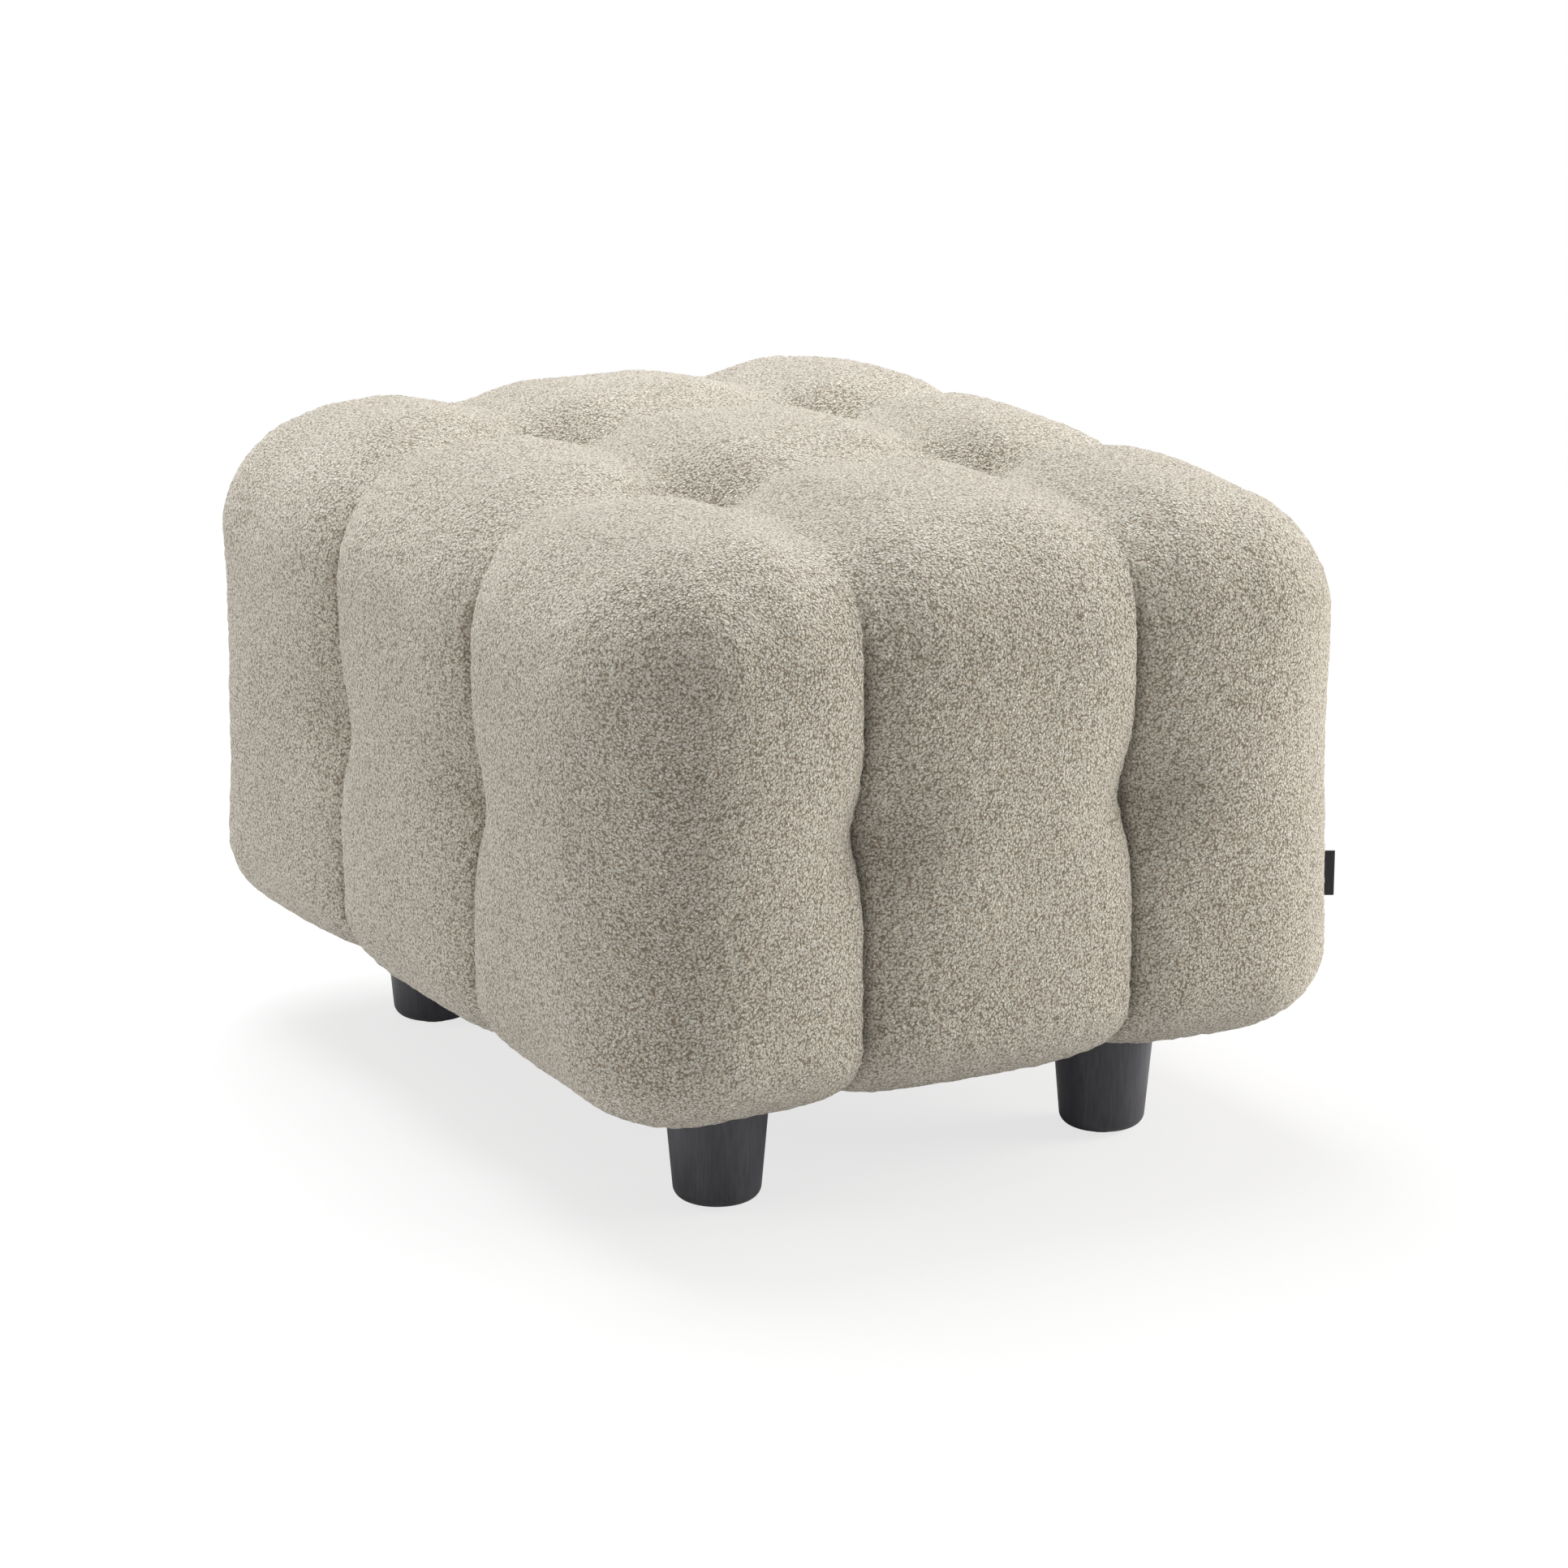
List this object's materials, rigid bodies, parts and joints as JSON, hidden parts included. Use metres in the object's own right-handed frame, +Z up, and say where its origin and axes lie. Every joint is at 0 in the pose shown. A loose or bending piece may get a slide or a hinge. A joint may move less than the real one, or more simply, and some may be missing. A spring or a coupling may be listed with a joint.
{
  "type": "upholstered footstool",
  "caption": "Rectangular footstool in a looped fabric cover, quilted into pillows by tufted channels, on short turned legs set in from its corners.",
  "frame": {"origin": "on the floor under the middle of the stool", "axes": "+X across the short side, +Y along the long side, +Z up"},
  "size_m": [0.53, 0.65, 0.43],
  "materials": {
    "boucle": "matte",
    "lining": "matte",
    "tab_fabric": "matte",
    "plated_steel": "satin",
    "twine": "matte",
    "felt": "matte",
    "glide_plastic": "matte",
    "foam": "matte",
    "plywood": "matte",
    "fibreboard": "matte",
    "frame_timber": "matte",
    "painted_timber": "satin"
  },
  "bodies": {
    "root": {"bottom_rail_back": "frame_timber", "bottom_rail_front": "frame_timber", "bottom_rail_left": "frame_timber", "bottom_rail_right": "frame_timber", "corner_post_back_left": "frame_timber", "corner_post_back_right": "frame_timber", "corner_post_front_left": "frame_timber", "corner_post_front_right": "frame_timber", "cross_rail": "frame_timber", "deck_board": "plywood", "dust_cover": "lining", "dust_cover_staples": "plated_steel", "glides": "glide_plastic", "hanger_bolts": "plated_steel", "hem_staples": "plated_steel", "label_tab": "tab_fabric", "leg_back_left": "painted_timber", "leg_back_right": "painted_timber", "leg_block_back_left": "frame_timber", "leg_block_back_right": "frame_timber", "leg_block_front_left": "frame_timber", "leg_block_front_right": "frame_timber", "leg_front_left": "painted_timber", "leg_front_right": "painted_timber", "quilted_cover": "boucle", "side_foam_back": "foam", "side_foam_front": "foam", "side_foam_left": "foam", "side_foam_right": "foam", "side_panel_back": "fibreboard", "side_panel_front": "fibreboard", "side_panel_left": "fibreboard", "side_panel_right": "fibreboard", "tee_nuts": "plated_steel", "top_foam": "foam", "top_rail_back": "frame_timber", "top_rail_front": "frame_timber", "top_rail_left": "frame_timber", "top_rail_right": "frame_timber", "tuft_patches": "felt", "tuft_ties": "twine"}
  },
  "joints": []
}
